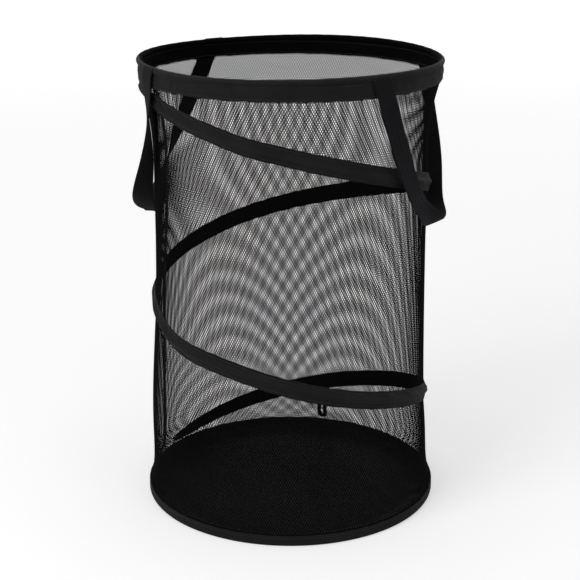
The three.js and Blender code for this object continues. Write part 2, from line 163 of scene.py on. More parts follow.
# Mesh wall: one rectangle of black warp knitted polyester net with small diamond openings, rolled into a
# tube. The rim and base hoops hold it wide, the spiral tape holds it in between, and it sags in elsewhere.
# It is made as four quarter panels of real strands, and each strand has a ridge along its middle.
hem_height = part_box("rim_binding")[0].z
rim_hem_drop = 0.0018
hem_edge_height = hem_height - rim_hem_drop
binding_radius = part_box("base_binding")[1].x
wall_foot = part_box("side_seam_tape")[0].z
wall_radius = 0.164
rim_wall_radius = 0.1765
base_wall_radius = 0.1785
rim_flare_height = 0.098
base_flare_height = 0.045
low_wall_growth = 0.0042
low_wall_height = 0.33
top_span_sag = 0.0052
middle_span_sag = 0.001
foot_span_rise = 0.001
foot_tuck = 0.0045
foot_tuck_height = 0.03

spiral_width = 0.0222
spiral_start = -157.5
spiral_end = 525.0
spiral_pitch = 0.26505
spiral_top_inset = 0.004
spiral_fade = 30.0
spiral_leans = ((230, 22, 0.009), (300, 35, 0.0025), (115, 40, -0.0022), (-93, 9, 0.0016))

net_columns = 340
net_rows = 184
net_foot = 0.0105
net_top = 0.5275
net_quarters = 4
hole_share = 0.675
hole_blunt_share = 0.12
strand_relief = 0.00022
rear_top_closing = 0.18
rear_top_foot = 0.455
rear_top_rise = 0.045
pucker_depth = 0.0002
pucker_reach = 0.022
pucker_waves = ((1, 61, 2, 5), (0.6, 97, 3, 7))


def smooth_rise(value):
    value = np.clip(value, 0, 1)
    return value * value * (3 - 2 * value)


def spiral_height(winding):
    """An even fall, and at each lean, which is (winding, reach, drop), the spiral hangs lower or higher."""
    fall = (winding - spiral_start) / 360 * spiral_pitch
    for middle, reach, drop in spiral_leans:
        fall = fall + drop * np.exp(-((winding - middle) / reach) ** 2)
    return hem_height - spiral_top_inset - fall


def spiral_edges(winding):
    """Lower and upper edge of the spiral tape, which narrows under the rim and at the base."""
    middle = spiral_height(winding)
    lower_edge = np.maximum(middle - spiral_width / 2, wall_foot)
    return lower_edge, np.minimum(middle + spiral_width / 2, hem_edge_height)


def held_radius(height):
    """Radius of the wall where a hoop or a tape holds it."""
    up = np.clip((height - hem_height) / rim_flare_height + 1, 0, 1)
    down = np.clip((wall_foot - height) / base_flare_height + 1, 0, 1)
    body = wall_radius + low_wall_growth * np.clip(1 - height / low_wall_height, 0, 1)
    return body + (rim_wall_radius - wall_radius) * up ** 2 + (base_wall_radius - body) * down ** 2


def span_sag(height, low, high, depth):
    """How far the net is drawn in between two tapes."""
    reach = np.clip((high - low) / (spiral_pitch - spiral_width), 1e-6, 1)
    share = (height - low) / np.maximum(high - low, 1e-6)
    hump = np.where((share > 0) & (share < 1), 4 * share * (1 - share), 0)
    return depth * reach ** 1.5 * hump


def foot_span(height, top):
    """Radius of the net between the base binding and the tape over it, tucked in just above the binding."""
    reach = np.clip((top - wall_foot) / (spiral_pitch - spiral_width), 1e-6, 1)
    share = np.clip((height - wall_foot) / np.maximum(top - wall_foot, 1e-6), 0, 1)
    straight = base_wall_radius + (held_radius(top) - base_wall_radius) * share
    over_foot = np.maximum(height - wall_foot, 0) / foot_tuck_height
    tuck = foot_tuck * smooth_rise(2 * reach) * (1 - share ** 2) * over_foot * np.exp(1 - over_foot)
    return straight + foot_span_rise * reach * 4 * share * (1 - share) - tuck


def uneven_waves(turn, *waves):
    """Waves round the hamper, each a (share, count, drift, drift count) that drifts to and fro."""
    return sum(share * np.sin(count * turn + drift * np.sin(drift_count * turn))
               for share, count, drift, drift_count in waves)


def net_ripple(angle, height):
    """Small folds of the net beside its tapes, and slow waves between them, in metres."""
    turn = np.radians(angle)
    beside = sum(np.exp(-np.abs(height - edge) / pucker_reach) for edge in (wall_foot, hem_height))
    waves = np.sin(9 * turn + 21 * height) + 0.7 * np.sin(14 * turn - 33 * height + 1)
    return pucker_depth * (uneven_waves(turn, *pucker_waves) * beside + 0.5 * waves)


def net_radius(angle, height):
    """Radius of the middle of the net at an angle in degrees, from +X."""
    first = spiral_start + np.mod(angle - spiral_start, 360)
    low, high = spiral_edges(first)
    lower_low, lower_high = spiral_edges(np.minimum(first + 360, spiral_end))
    past_end = smooth_rise((first + 360 - spiral_end) / spiral_fade)
    held = held_radius(height)
    two_tapes = np.where(height < lower_low, foot_span(height, lower_low),
                         held - span_sag(height, lower_high, low, middle_span_sag))
    one_tape = np.where(height < low, foot_span(height, low), held)
    below = two_tapes + (one_tape - two_tapes) * past_end
    return below - span_sag(height, high, hem_height, top_span_sag) + net_ripple(angle, height)


def round_points(angle, radius, height):
    turn = np.radians(angle)
    return np.stack(np.broadcast_arrays(radius * np.cos(turn), radius * np.sin(turn), height), -1)


def link_mesh(name, points, faces, face_places, finish, bake_places=None):
    """A smooth mesh object. face_places are its faces' corners on the flat cloth, in metres, and
    bake_places, where they are given, are its own map to bake textures on."""
    mesh = bpy.data.meshes.new(name)
    mesh.from_pydata(points.tolist(), [], faces)
    cloth_map = mesh.uv_layers.new(name="cloth")
    cloth_map.data.foreach_set("uv", np.asarray(face_places, np.float32).ravel())
    if bake_places is not None:
        bake_map = mesh.uv_layers.new(name="OFBake")
        bake_map.data.foreach_set("uv", np.asarray(bake_places, np.float32).ravel())
    mesh.shade_smooth()
    mesh.materials.append(finish)
    piece = bpy.data.objects.new(name, mesh)
    bpy.context.scene.collection.objects.link(piece)
    return piece


def new_group(name, numbers=(), colours=(), vectors=(), outputs=()):
    """An empty node group with named sockets, the sockets that it takes in, and its output node."""
    group = bpy.data.node_groups.new(name, "ShaderNodeTree")
    for label, value in numbers:
        socket = group.interface.new_socket(label, in_out="INPUT", socket_type="NodeSocketFloat")
        socket.default_value = value
    for label, value in colours:
        socket = group.interface.new_socket(label, in_out="INPUT", socket_type="NodeSocketColor")
        socket.default_value = value
    for label in vectors:
        group.interface.new_socket(label, in_out="INPUT", socket_type="NodeSocketVector")
    for label, kind in outputs:
        group.interface.new_socket(label, in_out="OUTPUT", socket_type=kind)
    return group, group.nodes.new("NodeGroupInput").outputs, group.nodes.new("NodeGroupOutput")


def place_group(tree, group, values):
    """Places a node group in a material with its own values, and returns its outputs."""
    node = tree.nodes.new("ShaderNodeGroup")
    node.node_tree = group
    return feed_node(tree, node, values)


def mix_colours(tree, factor, first, second):
    node = tree.nodes.new("ShaderNodeMix")
    node.data_type = "RGBA"
    return feed_node(tree, node, {"Factor": factor, "A": first, "B": second})["Result"]


# Lint and rubbing, on every cloth: the colour wanders between a deep and a rubbed one in soft patches,
# folded edges are rubbed lighter, and fine lint makes small pale flecks
rubbed_cloth, rub_in, rub_out = new_group(
    "rubbed and linted cloth",
    numbers=[("Patch Scale", 20), ("Fleck Scale", 900), ("Fleck Amount", 0.2), ("Edge Rubbing", 0.4),
             ("Smooth Roughness", 0.7), ("Rough Roughness", 0.9)],
    colours=[("Deep Colour", (0.01, 0.01, 0.01, 1)), ("Rubbed Colour", (0.03, 0.03, 0.03, 1))],
    vectors=["Place"],
    outputs=[("Colour", "NodeSocketColor"), ("Roughness", "NodeSocketFloat")])
patches = add_node(rubbed_cloth, "TexNoise", {
    "Vector": rub_in["Place"], "Scale": rub_in["Patch Scale"], "Detail": 3})
flecks = add_node(rubbed_cloth, "TexNoise", {
    "Vector": rub_in["Place"], "Scale": rub_in["Fleck Scale"], "Detail": 1})
fleck_peaks = add_node(rubbed_cloth, "MapRange", {"Value": flecks["Fac"], "From Min": 0.62, "From Max": 0.8})
bend_of_surface = add_node(rubbed_cloth, "NewGeometry")
sharp_edges = add_node(rubbed_cloth, "MapRange", {
    "Value": bend_of_surface["Pointiness"], "From Min": 0.52, "From Max": 0.66})
edge_part = wire_math(rubbed_cloth, "MULTIPLY", sharp_edges["Result"], rub_in["Edge Rubbing"])
fleck_part = wire_math(rubbed_cloth, "MULTIPLY", fleck_peaks["Result"], rub_in["Fleck Amount"])
patch_part = wire_math(rubbed_cloth, "MULTIPLY", patches["Fac"], 0.7)
rubbing = wire_math(rubbed_cloth, "ADD", wire_math(rubbed_cloth, "ADD", patch_part, edge_part), fleck_part)
rubbed_roughness = add_node(rubbed_cloth, "MapRange", {
    "Value": rubbing, "To Min": rub_in["Rough Roughness"], "To Max": rub_in["Smooth Roughness"]})
feed_node(rubbed_cloth, rub_out, {
    "Colour": mix_colours(rubbed_cloth, rubbing, rub_in["Deep Colour"], rub_in["Rubbed Colour"]),
    "Roughness": rubbed_roughness["Result"]})


def grey(level, blue=1.0):
    return (level, level, level * blue, 1)


def cloth_finish(name, deep, rubbed, roughness, sheen, gloss, patch_scale, fleck_amount, edge_rubbing):
    """A cloth material with its colour and roughness wired. Returns it, its tree and its shader."""
    material, tree, shader = new_material(name)
    worn = place_group(tree, rubbed_cloth, {
        "Place": add_node(tree, "TexCoord")["Object"],
        "Deep Colour": deep,
        "Rubbed Colour": rubbed,
        "Smooth Roughness": roughness[0],
        "Rough Roughness": roughness[1],
        "Patch Scale": patch_scale,
        "Fleck Amount": fleck_amount,
        "Edge Rubbing": edge_rubbing})
    feed_node(tree, shader, {
        "Base Color": worn["Colour"],
        "Roughness": worn["Roughness"],
        "Sheen Weight": sheen,
        "Sheen Roughness": 0.5,
        "Specular IOR Level": gloss})
    return material, tree, shader


def add_relief(tree, shader, height, depth, strength=1.0):
    bump = add_node(tree, "Bump", {"Height": height, "Distance": depth, "Strength": strength})
    feed_node(tree, shader, {"Normal": bump["Normal"]})


def cloth_place(tree):
    """The place on the flat cloth, in metres along and across it."""
    node = tree.nodes.new("ShaderNodeUVMap")
    node.uv_map = "cloth"
    return node.outputs["UV"]


net_black, net_tree, net_shader = cloth_finish(
    "knitted net", deep=grey(0.0018), rubbed=grey(0.0045, 1.05), roughness=(0.75, 0.95), sheen=0.01,
    gloss=0.04, patch_scale=14, fleck_amount=0.2, edge_rubbing=0.2)
filament_wave = add_node(net_tree, "TexWave", {
    "Vector": cloth_place(net_tree), "Scale": 900, "Distortion": 4, "Detail": 2})
add_relief(net_tree, net_shader, filament_wave["Fac"], depth=0.00006, strength=0.6)


def net_openness(angle, height):
    """Size of the net's holes as a share of their usual size, a little less at the top of the back."""
    rear = smooth_rise((np.sin(np.radians(angle) - view_bearing) + 0.2) / 0.6)
    return 1 - rear_top_closing * rear * smooth_rise((height - rear_top_foot) / rear_top_rise)


def net_quarter(quarter):
    """One quarter of the net, as a lattice of diamonds with a six cornered hole in each."""
    width = 2 * net_columns // net_quarters
    first_column = quarter * width
    rows, columns = np.meshgrid(np.arange(1, net_rows), np.arange(width), indexing="ij")
    inside = (rows + columns) % 2 == 0
    rows, columns = rows[inside].astype(float), columns[inside].astype(float)
    half = hole_share
    blunt = hole_blunt_share
    knots = np.array([(0, 1), (1, 0), (0, -1), (-1, 0)])
    hole_corners = np.array([(half, 0), (blunt, half - blunt), (-blunt, half - blunt),
                             (-half, 0), (-blunt, blunt - half), (blunt, blunt - half)])
    north, east, south, west, right, top_right, top_left, left, low_left, low_right = range(10)
    sides = [(north, top_right, right, east), (north, top_left, top_right), (north, west, left, top_left),
             (south, low_left, left, west), (south, low_right, low_left), (south, east, right, low_right)]
    column_degrees = 360 / (2 * net_columns)
    row_step = (net_top - net_foot) / net_rows
    openness = net_openness((first_column + columns) * column_degrees, net_foot + rows * row_step)
    knot_columns = (columns[:, None] + knots[:, 0]).astype(int)
    knot_rows = (rows[:, None] + knots[:, 1]).astype(int)
    hole_columns = columns[:, None] + openness[:, None] * hole_corners[:, 0]
    hole_rows = rows[:, None] + openness[:, None] * hole_corners[:, 1]
    used, knot_index = np.unique(knot_rows * (width + 2) + knot_columns + 1, return_inverse=True)
    knot_index = knot_index.reshape(knot_rows.shape)
    hole_index = len(used) + np.arange(hole_rows.size).reshape(hole_rows.shape)
    index = np.concatenate([knot_index, hole_index], 1)
    all_columns = np.concatenate([used % (width + 2) - 1, hole_columns.ravel()])
    all_rows = np.concatenate([used // (width + 2), hole_rows.ravel()])
    angle = (first_column + all_columns) * column_degrees
    height = net_foot + all_rows * row_step
    relief = np.where(np.arange(len(all_rows)) < len(used), strand_relief, -strand_relief)
    points = round_points(angle, net_radius(angle, height) + relief, height)
    flat = np.stack([np.radians(angle) * wall_radius, height], 1)
    unit = np.stack([(all_columns + 1) / (width + 2), all_rows / net_rows], 1)
    faces = [face for side in sides for face in index[:, list(side)].tolist()]
    order = np.concatenate([index[:, list(side)].ravel() for side in sides])
    return link_mesh(f"mesh_wall_panel_{quarter + 1}", points, faces, flat[order], net_black, unit[order])


def fold_with_rim(piece):
    """Gives the piece a mesh of its own."""
    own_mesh(piece)


wall_panels = [net_quarter(quarter) for quarter in range(net_quarters)]
for panel in wall_panels:
    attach(panel, "base")
    fold_with_rim(panel)
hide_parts("mesh_wall")


# Side seam: a narrow woven tape inside the wall, under the left handle. It covers the join of the net, whose
# two edges lie doubled beneath it, and a row of lock stitches runs down each of its edges.
seam_width = 0.010
seam_thickness = 0.0007
seam_inset = 0.0013
seam_angle = 180
seam_top_gap = 0.0006
seam_stitch_share = 0.7
seam_edge_thinning = 0.75
seam_steps = 260
stitch_pitch = 0.003
stitch_length = 0.0024
first_stitch_share = 0.1
thread_radius = 0.00022


def grid_cells(rows, columns):
    """Row and column of every cell of a grid."""
    return (places.ravel() for places in np.meshgrid(np.arange(rows), np.arange(columns), indexing="ij"))


def skin(name, rings, finish, looped=False):
    """Joins closed sections, rings[i][j], into one closed smooth skin."""
    count, corners = rings.shape[:2]
    i, j = grid_cells(count if looped else count - 1, corners)
    rows = np.stack([i, i + 1, i + 1, i], 1)
    columns = np.stack([j, j, j + 1, j + 1], 1)
    faces = ((rows % count) * corners + columns % corners).tolist()
    closed_rows = np.concatenate([rings, rings[:1]])
    closed_columns = np.concatenate([rings, rings[:, :1]], 1)
    step_along = np.linalg.norm(np.diff(closed_rows, axis=0), axis=2).mean(1)
    step_around = np.linalg.norm(np.diff(closed_columns, axis=1), axis=2).mean(0)
    along = np.concatenate([[0], np.cumsum(step_along)])
    around = np.concatenate([[0], np.cumsum(step_around)])
    places = np.stack([along[rows].ravel(), around[columns].ravel()], 1)
    if not looped:
        faces += [list(range(corners)), list(range((count - 1) * corners, count * corners))]
        places = np.concatenate([places, np.zeros((2 * corners, 2))])
    piece = link_mesh(name, rings.reshape(-1, 3), faces, places, finish)
    whole = bmesh.new()
    whole.from_mesh(piece.data)
    bmesh.ops.recalc_face_normals(whole, faces=whole.faces)
    whole.to_mesh(piece.data)
    whole.free()
    return piece


def normalised(vectors):
    return vectors / np.maximum(np.linalg.norm(vectors, axis=-1, keepdims=True), 1e-12)


def outward(points):
    """Level directions from the hamper's middle line out to the points."""
    return normalised(points * np.array([1, 1, 0]))


def stitch_rows(name, lines, finish):
    """Lock stitches. Each line of them is (starts, ends, outward directions), with one row for a stitch."""
    ring_shares = (0, 0.14, 0.5, 0.86, 1)
    swell_shares = (0.45, 1, 1, 1, 0.45)
    lift_shares = (-0.7, 0.25, 0.6, 0.25, -0.7)
    sides = 4
    starts, ends, outs = (np.concatenate(parts) for parts in zip(*lines))
    outs = normalised(outs)
    across = normalised(np.cross(normalised(ends - starts), outs))
    stations = []
    for share, swell, lift in zip(ring_shares, swell_shares, lift_shares):
        middle = starts + (ends - starts) * share + outs * lift * thread_radius
        for side in range(sides):
            turn = 2 * math.pi * (side + 0.5) / sides
            reach = thread_radius * swell
            stations.append(middle + across * math.cos(turn) * reach + outs * math.sin(turn) * reach)
    points = np.stack(stations, 1)
    count = len(starts)
    block = sides * len(ring_shares)
    faces = []
    for ring in range(len(ring_shares) - 1):
        for side in range(sides):
            here = ring * sides + side
            beside = ring * sides + (side + 1) % sides
            faces.append([here, beside, beside + sides, here + sides])
    faces.append(list(range(sides))[::-1])
    faces.append([block - sides + side for side in range(sides)])
    all_faces = (np.array(faces)[None] + (np.arange(count) * block)[:, None, None]).reshape(-1, 4)
    flat = np.stack([np.tile(np.repeat(np.array(ring_shares) * stitch_length, sides), count),
                     np.tile(np.tile(np.arange(sides), len(ring_shares)) * thread_radius, count)], 1)
    return link_mesh(name, points.reshape(-1, 3), all_faces.tolist(), flat[all_faces.ravel()], finish)


def stitch_line(points, outs, closed=False):
    """Starts, ends and outward directions of the stitches along a finely spaced line."""
    if closed:
        points = np.concatenate([points, points[:1]])
        outs = np.concatenate([outs, outs[:1]])
    run = np.concatenate([[0], np.cumsum(np.linalg.norm(np.diff(points, axis=0), axis=1))])
    count = int(run[-1] / stitch_pitch)
    starts = (np.arange(count) + first_stitch_share) * run[-1] / count

    def along(values, where):
        return np.stack([np.interp(where, run, values[:, axis]) for axis in range(3)], 1)

    ends = starts + stitch_length
    return along(points, starts), along(points, ends), along(outs, (starts + ends) / 2)


def round_threads(tree, place):
    """Rounded height of threads that lie side by side, one to each whole step of the place."""
    wave = wire_math(tree, "SINE", wire_math(tree, "MULTIPLY", place, math.pi))
    return wire_math(tree, "ABSOLUTE", wave)


# Woven tape: over and under threads on the bias, as in bias tape, and a soft unevenness of the yarn
plain_weave, weave_in, weave_out = new_group(
    "plain weave",
    numbers=[("Threads Per Metre", 2200), ("Bias Turn", 0.785), ("Yarn Unevenness", 0.3)],
    vectors=["Cloth Place"],
    outputs=[("Height", "NodeSocketFloat")])
bias_turn = plain_weave.nodes.new("ShaderNodeVectorRotate")
bias_turn.rotation_type = "Z_AXIS"
turned = feed_node(plain_weave, bias_turn,
                   {"Vector": weave_in["Cloth Place"], "Angle": weave_in["Bias Turn"]})
thread_scale = plain_weave.nodes.new("ShaderNodeVectorMath")
thread_scale.operation = "SCALE"
counted = feed_node(plain_weave, thread_scale,
                    {"Vector": turned["Vector"], "Scale": weave_in["Threads Per Metre"]})
thread_axes = add_node(plain_weave, "SeparateXYZ", {"Vector": counted["Vector"]})
over_under = add_node(plain_weave, "TexChecker", {"Vector": counted["Vector"], "Scale": 1})
top_thread = add_node(plain_weave, "Mix", {
    "Factor": over_under["Fac"],
    "A": round_threads(plain_weave, thread_axes["X"]),
    "B": round_threads(plain_weave, thread_axes["Y"])})
yarn_noise = add_node(plain_weave, "TexNoise", {"Vector": counted["Vector"], "Scale": 0.6})
uneven = wire_math(plain_weave, "MULTIPLY", yarn_noise["Fac"], weave_in["Yarn Unevenness"])
feed_node(plain_weave, weave_out, {"Height": wire_math(plain_weave, "ADD", top_thread["Result"], uneven)})


def add_plain_weave(tree, shader, threads_per_metre, turn, depth):
    weave = place_group(tree, plain_weave, {
        "Cloth Place": cloth_place(tree), "Threads Per Metre": threads_per_metre, "Bias Turn": turn})
    add_relief(tree, shader, weave["Height"], depth)


def paint_shade_inward(piece, finish):
    """Gives a tape's faces that look toward the hamper's middle a darker copy of its finish, painted shade.
    """
    faces = piece.data.polygons
    normals = np.zeros(3 * len(faces), np.float32)
    centres = np.zeros(3 * len(faces), np.float32)
    faces.foreach_get("normal", normals)
    faces.foreach_get("center", centres)
    inward = (normals.reshape(-1, 3) * outward(centres.reshape(-1, 3))).sum(1) < -0.2
    piece.data.materials.append(finish)
    faces.foreach_set("material_index", inward.astype(np.int32))


tape_black, tape_tree, tape_shader = cloth_finish(
    "bias tape", deep=grey(0.0072), rubbed=grey(0.020, 1.03), roughness=(0.55, 0.8), sheen=0.03, gloss=0.08,
    patch_scale=26, fleck_amount=0.25, edge_rubbing=0.6)
# A darker copy of the bias tape with no sheen: painted shade for the tapes' inward faces and for the spiral's
# backing layer.
tape_painted_shade, painted_shade_tree, painted_shade_shader = cloth_finish(
    "bias tape with painted shade", deep=grey(0.0014), rubbed=grey(0.0028), roughness=(0.75, 0.95), sheen=0,
    gloss=0.03, patch_scale=26, fleck_amount=0.25, edge_rubbing=0.3)
for tree, shader in ((tape_tree, tape_shader), (painted_shade_tree, painted_shade_shader)):
    add_plain_weave(tree, shader, threads_per_metre=2200, turn=math.pi / 4, depth=0.00008)

thread_black, thread_tree, thread_shader = cloth_finish(
    "sewing thread", deep=grey(0.012), rubbed=grey(0.03, 1.03), roughness=(0.4, 0.6), sheen=0.05, gloss=0.35,
    patch_scale=60, fleck_amount=0.1, edge_rubbing=0.2)
thread_twist = thread_tree.nodes.new("ShaderNodeTexWave")
thread_twist.bands_direction = "DIAGONAL"
twist_lines = feed_node(thread_tree, thread_twist, {"Vector": cloth_place(thread_tree), "Scale": 800})
add_relief(thread_tree, thread_shader, twist_lines["Fac"], depth=0.00005)

seam_heights = np.linspace(wall_foot, hem_height - seam_top_gap, seam_steps)
seam_shares = np.array([-1, -0.94, -0.7, -0.35, 0, 0.35, 0.7, 0.94, 1])
seam_crown = 1 - seam_edge_thinning * np.abs(seam_shares) ** 6


def seam_point(share, lift, height):
    angle = seam_angle + np.degrees(share * seam_width / 2 / wall_radius)
    return round_points(angle, net_radius(seam_angle, height) - seam_inset - lift, height)


seam_rings = np.stack(
    [seam_point(share, 0, seam_heights) for share in seam_shares]
    + [seam_point(share, seam_thickness * crown, seam_heights)
       for share, crown in zip(seam_shares[::-1], seam_crown[::-1])], 1)
seam_tape = skin("side_seam_tape_cloth", seam_rings, tape_black)
seam_lines = []
for share in (-seam_stitch_share, seam_stitch_share):
    line = seam_point(share, seam_thickness, seam_heights)
    seam_lines.append(stitch_line(line, -outward(line)))
seam_stitches = stitch_rows("side_seam_stitches", seam_lines, thread_black)
for piece in (seam_tape, seam_stitches):
    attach(piece, "base")
    fold_with_rim(piece)
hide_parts("side_seam_tape")


# Spiral tape: a bias tape 22 mm wide, wound down the outside of the wall and sewn to it along both edges. The
# spring wire lies in the channel between its two rows of stitches, with a flat layer of the tape behind it.
spiral_stitches = 684
spiral_steps = spiral_stitches * 4
spiral_hem_lift = 0.0007
spiral_crown_lift = 0.0044
spiral_end_crown_lift = 0.0036
spiral_crown_rise = 40.0
spiral_thickness = 0.0009
spiral_edge_thinning = 0.6
spiral_stitch_share = 0.70
spiral_windings = np.linspace(spiral_start, spiral_end, spiral_steps + 1)
spiral_shares = np.array([-1, -0.97, -0.86, -0.7, -0.56, -0.44, -0.32, -0.2, -0.08,
                          0.08, 0.2, 0.32, 0.44, 0.56, 0.7, 0.86, 0.97, 1])
spiral_ridge_half = 0.50
spiral_edge_fade = 0.35
spiral_stitch_reach = 0.12
spiral_slack = 0.0004
spiral_drag = 0.00025
spiral_pinch = 0.0003
spiral_pucker = 0.00022
spiral_fray = 0.0002
backing_half_share = 0.58
backing_inside = 0.0004
backing_outside = 0.0007


def spiral_wander(winding):
    """How far the wire lies above the middle of its channel, as a share of half the tape's width."""
    turn = np.radians(winding)
    return 0.16 * np.sin(1.3 * turn + 0.6) + 0.08 * np.sin(3.1 * turn)


def spiral_lift(share, winding):
    """Height of the inside of the tape over the held wall."""
    turn = np.radians(winding)
    across = (share - spiral_wander(winding)) / spiral_ridge_half
    ridge = np.exp(-2.2 * across ** 2)
    edge_fade = smooth_rise((1 - np.abs(share)) / spiral_edge_fade)
    slack = spiral_slack * np.sin(23 * turn + 4 * share) * edge_fade
    drag = spiral_drag * np.sin(58 * turn + 7 * share + 2 * np.sin(5 * turn)) * edge_fade
    stitch_turn = (winding - spiral_start) / (spiral_end - spiral_start) * spiral_stitches * 2 * math.pi
    near_stitch = np.exp(-((np.abs(share) - spiral_stitch_share) / spiral_stitch_reach) ** 2)
    pinch = near_stitch * (spiral_pinch + spiral_pucker * np.cos(stitch_turn))
    from_end = np.minimum(winding - spiral_start, spiral_end - winding)
    crown_gain = (spiral_crown_lift - spiral_end_crown_lift) * smooth_rise(from_end / spiral_crown_rise)
    wire_lift = (spiral_end_crown_lift + crown_gain - spiral_hem_lift) * ridge * edge_fade
    return spiral_hem_lift + wire_lift + slack + drag * (1 - ridge) - pinch


def spiral_point(share, winding, lift):
    low, high = spiral_edges(winding)
    frayed = spiral_fray * np.sin(np.radians(winding) * 41 + 9 * share) * np.abs(share)
    height = (low + high) / 2 + share * (high - low) / 2 + frayed
    return round_points(winding, held_radius(height) + spiral_lift(share, winding) + lift, height)


def backing_point(share, lift):
    windings = spiral_windings[::2]
    low, high = spiral_edges(windings)
    height = (low + high) / 2 + share * (high - low) / 2
    return round_points(windings, held_radius(height) + lift, height)


spiral_outsides = spiral_thickness * (1 - spiral_edge_thinning * np.abs(spiral_shares) ** 12)
spiral_rings = np.stack(
    [spiral_point(share, spiral_windings, 0) for share in spiral_shares]
    + [spiral_point(share, spiral_windings, outside)
       for share, outside in zip(spiral_shares[::-1], spiral_outsides[::-1])], 1)
spiral_tape = skin("spiral_tape", spiral_rings, tape_black)
# Painted shade: the spiral tape's inward faces get the darker copy of its finish.
paint_shade_inward(spiral_tape, tape_painted_shade)

# The backing layer has the darker tape finish, painted shade.
backing_shares = (-backing_half_share, 0, backing_half_share)
backing_rings = np.stack([backing_point(share, backing_inside) for share in backing_shares]
                         + [backing_point(share, backing_outside) for share in backing_shares[::-1]], 1)
spiral_backing = skin("spiral_tape_backing", backing_rings, tape_painted_shade)

spiral_lines = []
for share in (-spiral_stitch_share, spiral_stitch_share):
    line = spiral_point(share, spiral_windings, spiral_thickness)
    spiral_lines.append(stitch_line(line, outward(line)))
spiral_thread = stitch_rows("spiral_stitches", spiral_lines, thread_black)
for piece in (spiral_tape, spiral_backing, spiral_thread):
    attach(piece, "base")
    fold_with_rim(piece)
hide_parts("spiral_binding")


# Spiral wire: drawn spring steel, phosphate grey, 2.4 mm thick, with a soft vinyl tube pushed onto each end
# so that it can't pierce the tape. Wire and tips are made here again, to lie in the tape's channel.
wire_radius = 0.0012
wire_sides = 10
wire_steps = 1400
wire_end_gap = 0.3
wire_back_gap = 0.0004
tip_radius = 0.0019
tip_length = 0.008
tip_sides = 12
tip_swell = np.array([0.55, 0.85, 1, 1, 1, 1, 1, 1, 1, 0.97])

# Drawn steel: fine lines from the die run along the wire, darker and rougher where the grey scale is left
steel_lines, steel_in, steel_out = new_group(
    "drawn steel",
    numbers=[("Line Scale", 900), ("Dark Roughness", 0.5), ("Bright Roughness", 0.3)],
    colours=[("Scale Colour", (0.2, 0.2, 0.2, 1)), ("Steel Colour", (0.5, 0.5, 0.5, 1))],
    vectors=["Place"],
    outputs=[("Colour", "NodeSocketColor"), ("Roughness", "NodeSocketFloat"), ("Height", "NodeSocketFloat")])
stretched_place = add_node(steel_lines, "Mapping", {"Vector": steel_in["Place"], "Scale": (0.06, 0.06, 1)})
die_lines = add_node(steel_lines, "TexNoise", {
    "Vector": stretched_place["Vector"], "Scale": steel_in["Line Scale"], "Detail": 4})
steel_roughness = add_node(steel_lines, "MapRange", {
    "Value": die_lines["Fac"], "To Min": steel_in["Dark Roughness"], "To Max": steel_in["Bright Roughness"]})
feed_node(steel_lines, steel_out, {
    "Colour": mix_colours(steel_lines, die_lines["Fac"], steel_in["Scale Colour"], steel_in["Steel Colour"]),
    "Roughness": steel_roughness["Result"],
    "Height": die_lines["Fac"]})


def steel_finish(name, scale_colour, steel_colour, line_scale, roughness):
    material, tree, shader = new_material(name)
    drawn = place_group(tree, steel_lines, {
        "Place": add_node(tree, "TexCoord")["Object"],
        "Line Scale": line_scale,
        "Scale Colour": scale_colour,
        "Steel Colour": steel_colour,
        "Bright Roughness": roughness[0],
        "Dark Roughness": roughness[1]})
    feed_node(tree, shader, {"Base Color": drawn["Colour"], "Roughness": drawn["Roughness"], "Metallic": 1})
    add_relief(tree, shader, drawn["Height"], depth=0.00003)
    return material


spring_steel = steel_finish("drawn spring steel", scale_colour=grey(0.16), steel_colour=grey(0.34, 1.04),
                            line_scale=700, roughness=(0.3, 0.5))
tip_vinyl, tip_tree, tip_shader = cloth_finish(
    "soft vinyl", deep=grey(0.01), rubbed=grey(0.028), roughness=(0.35, 0.55), sheen=0, gloss=0.5,
    patch_scale=300, fleck_amount=0.1, edge_rubbing=0.3)
tip_grain = add_node(tip_tree, "TexNoise", {
    "Vector": add_node(tip_tree, "TexCoord")["Object"], "Scale": 2500})
add_relief(tip_tree, tip_shader, tip_grain["Fac"], depth=0.00004)


def tube(name, line, radii, sides, finish):
    """A closed tube along a line of points, of one radius or with its own radius at each point."""
    along = normalised(np.gradient(line, axis=0))
    side = normalised(np.cross(along, np.array([0, 0, 1.0])))
    up = np.cross(side, along)
    turns = 2 * math.pi * np.arange(sides) / sides
    ring = side[:, None] * np.cos(turns)[None, :, None] + up[:, None] * np.sin(turns)[None, :, None]
    return skin(name, line[:, None] + ring * np.broadcast_to(radii, len(line))[:, None, None], finish)


def wire_line(windings):
    """Middle of the wire, halfway between the backing and the inside of the tape."""
    low, high = spiral_edges(windings)
    height = (low + high) / 2 + spiral_wander(windings) * (high - low) / 2
    inside = spiral_lift(spiral_wander(windings), windings)
    return round_points(windings, held_radius(height) + inside / 2 + wire_back_gap, height)


wire_windings = np.linspace(spiral_start + wire_end_gap, spiral_end - wire_end_gap, wire_steps)
spiral_wire = tube("spiral_spring_wire", wire_line(wire_windings), wire_radius, wire_sides, spring_steel)
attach(spiral_wire, "base")
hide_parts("spiral_wire")
fold_with_rim(spiral_wire)

tip_degrees = math.degrees(tip_length / wall_radius)
for name, node, body, start, way in (("spiral_upper_tip_tube", "spiral_upper_tip", "rim", spiral_start, 1),
                                     ("spiral_lower_tip_tube", "spiral_lower_tip", "base", spiral_end, -1)):
    windings = start + way * np.linspace(0, tip_degrees, len(tip_swell))
    tip = tube(name, wire_line(windings), tip_radius * tip_swell, tip_sides, tip_vinyl)
    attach(tip, body)
    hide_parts(node)
    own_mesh(tip)


